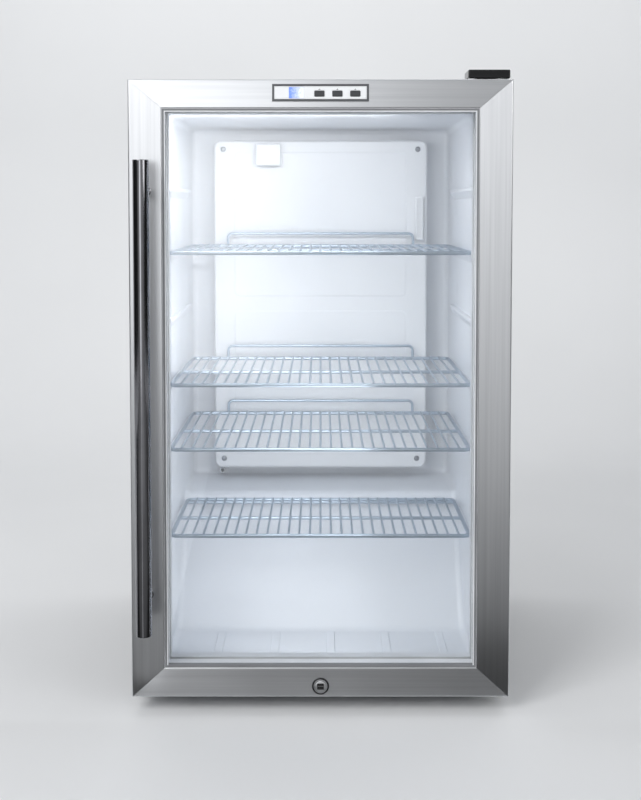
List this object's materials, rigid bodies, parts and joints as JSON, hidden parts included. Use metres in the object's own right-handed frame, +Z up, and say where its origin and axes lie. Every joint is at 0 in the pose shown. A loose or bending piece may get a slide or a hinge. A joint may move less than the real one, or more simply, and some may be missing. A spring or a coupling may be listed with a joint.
{
  "type": "reach in refrigerator",
  "caption": "Counter-height reach in refrigerator with a glass door in a brushed steel frame, bar handle, control strip, lock, wire shelves and a black case.",
  "frame": {"origin": "bottom centre of the object's box, on the floor between the feet", "axes": "+Z up, +Y towards the back, +X to the right of a person facing the door"},
  "size_m": [0.483, 0.55, 0.822],
  "materials": {
    "brushed_steel": "brushed along each member",
    "polished_steel": "polished",
    "grey_plastic": "satin",
    "glass": "clear",
    "aluminium": "satin",
    "seal_rubber": "matte",
    "white_plastic": "satin",
    "display": "gloss",
    "button_grey": "matte",
    "circuit_board": "solder mask",
    "zinc_steel": "zinc plated",
    "black_plastic": "satin gloss",
    "case_black": "fine texture powder coat",
    "liner_white": "satin",
    "foam": "closed cell foam",
    "shelf_wire": "plated wire",
    "compressor_black": "satin enamel",
    "copper": "drawn tube",
    "foot_rubber": "matte"
  },
  "bodies": {
    "cabinet": {"side_panel_left": "case_black", "side_panel_right": "case_black", "top_panel": "case_black", "back_panel": "case_black", "base_plate": "case_black", "rear_grille": "case_black", "inner_liner": "liner_white", "foam_insulation": "foam", "evaporator_cover": "white_plastic", "cover_screw_1": "zinc_steel", "cover_screw_2": "zinc_steel", "cover_screw_3": "zinc_steel", "cover_screw_4": "zinc_steel", "evaporator_coil": "aluminium", "fan_motor": "black_plastic", "lamp_housing": "white_plastic", "sensor_guard": "white_plastic", "drain_tube": "white_plastic", "compressor": "compressor_black", "drain_pan": "black_plastic", "condenser_coil": "compressor_black", "drier_line": "copper", "suction_pipe": "copper", "power_inlet": "black_plastic", "hinge_bracket_top": "zinc_steel", "hinge_pin_top": "zinc_steel", "hinge_bracket_bottom": "zinc_steel", "hinge_cap": "black_plastic", "lock_keeper": "zinc_steel"},
    "door": {"door_stile_left": "brushed_steel", "door_stile_right": "brushed_steel", "door_rail_top": "brushed_steel", "door_rail_bottom": "brushed_steel", "window_frame": "grey_plastic", "glass_outer": "glass", "glass_inner": "glass", "glass_spacer": "aluminium", "door_gasket": "seal_rubber", "door_handle": "polished_steel", "control_bezel": "grey_plastic", "control_panel": "white_plastic", "display_lens": "display", "controller_board": "circuit_board", "lock_body": "polished_steel", "hinge_bush_top": "white_plastic", "hinge_bush_bottom": "white_plastic"},
    "lock": {"lock_plug": "polished_steel", "lock_cam": "zinc_steel"},
    "button_left": {"button_1": "button_grey"},
    "button_middle": {"button_2": "button_grey"},
    "button_right": {"button_3": "button_grey"},
    "fan": {"fan_blade": "grey_plastic"},
    "shelf_top": {"shelf_1": "shelf_wire"},
    "shelf_upper": {"shelf_2": "shelf_wire"},
    "shelf_lower": {"shelf_3": "shelf_wire"},
    "shelf_bottom": {"shelf_4": "shelf_wire"},
    "foot_front_left": {"foot_1": "foot_rubber"},
    "foot_front_right": {"foot_2": "foot_rubber"},
    "foot_rear_left": {"foot_3": "foot_rubber"},
    "foot_rear_right": {"foot_4": "foot_rubber"}
  },
  "joints": [
    {"name": "door_hinge", "type": "hinge", "parent": "cabinet", "child": "door", "pos_m": [0.2275, -0.198, 0.4], "axis": [0, 0, 1], "range_deg": [0, 110]},
    {"name": "lock_turn", "type": "hinge", "parent": "door", "child": "lock", "pos_m": [0, -0.2, 0.0366], "axis": [0, -1, 0], "range_deg": [0, 90]},
    {"name": "button_left_press", "type": "slide", "parent": "door", "child": "button_left", "axis": [0, 1, 0], "range_m": [0, 0.001], "stiffness_N_per_m": 300},
    {"name": "button_middle_press", "type": "slide", "parent": "door", "child": "button_middle", "axis": [0, 1, 0], "range_m": [0, 0.001], "stiffness_N_per_m": 300},
    {"name": "button_right_press", "type": "slide", "parent": "door", "child": "button_right", "axis": [0, 1, 0], "range_m": [0, 0.001], "stiffness_N_per_m": 300},
    {"name": "fan_spin", "type": "hinge", "parent": "cabinet", "child": "fan", "pos_m": [0, 0.191, 0.6], "axis": [0, 1, 0], "continuous": true},
    {"name": "shelf_top_slide", "type": "slide", "parent": "cabinet", "child": "shelf_top", "axis": [0, -1, 0], "range_m": [0, 0.025]},
    {"name": "shelf_upper_slide", "type": "slide", "parent": "cabinet", "child": "shelf_upper", "axis": [0, -1, 0], "range_m": [0, 0.025]},
    {"name": "shelf_lower_slide", "type": "slide", "parent": "cabinet", "child": "shelf_lower", "axis": [0, -1, 0], "range_m": [0, 0.025]},
    {"name": "shelf_bottom_slide", "type": "slide", "parent": "cabinet", "child": "shelf_bottom", "axis": [0, -1, 0], "range_m": [0, 0.025]},
    {"name": "foot_front_left_screw", "type": "slide", "parent": "cabinet", "child": "foot_front_left", "axis": [0, 0, -1], "range_m": [0, 0.012]},
    {"name": "foot_front_right_screw", "type": "slide", "parent": "cabinet", "child": "foot_front_right", "axis": [0, 0, -1], "range_m": [0, 0.012]},
    {"name": "foot_rear_left_screw", "type": "slide", "parent": "cabinet", "child": "foot_rear_left", "axis": [0, 0, -1], "range_m": [0, 0.012]},
    {"name": "foot_rear_right_screw", "type": "slide", "parent": "cabinet", "child": "foot_rear_right", "axis": [0, 0, -1], "range_m": [0, 0.012]}
  ]
}
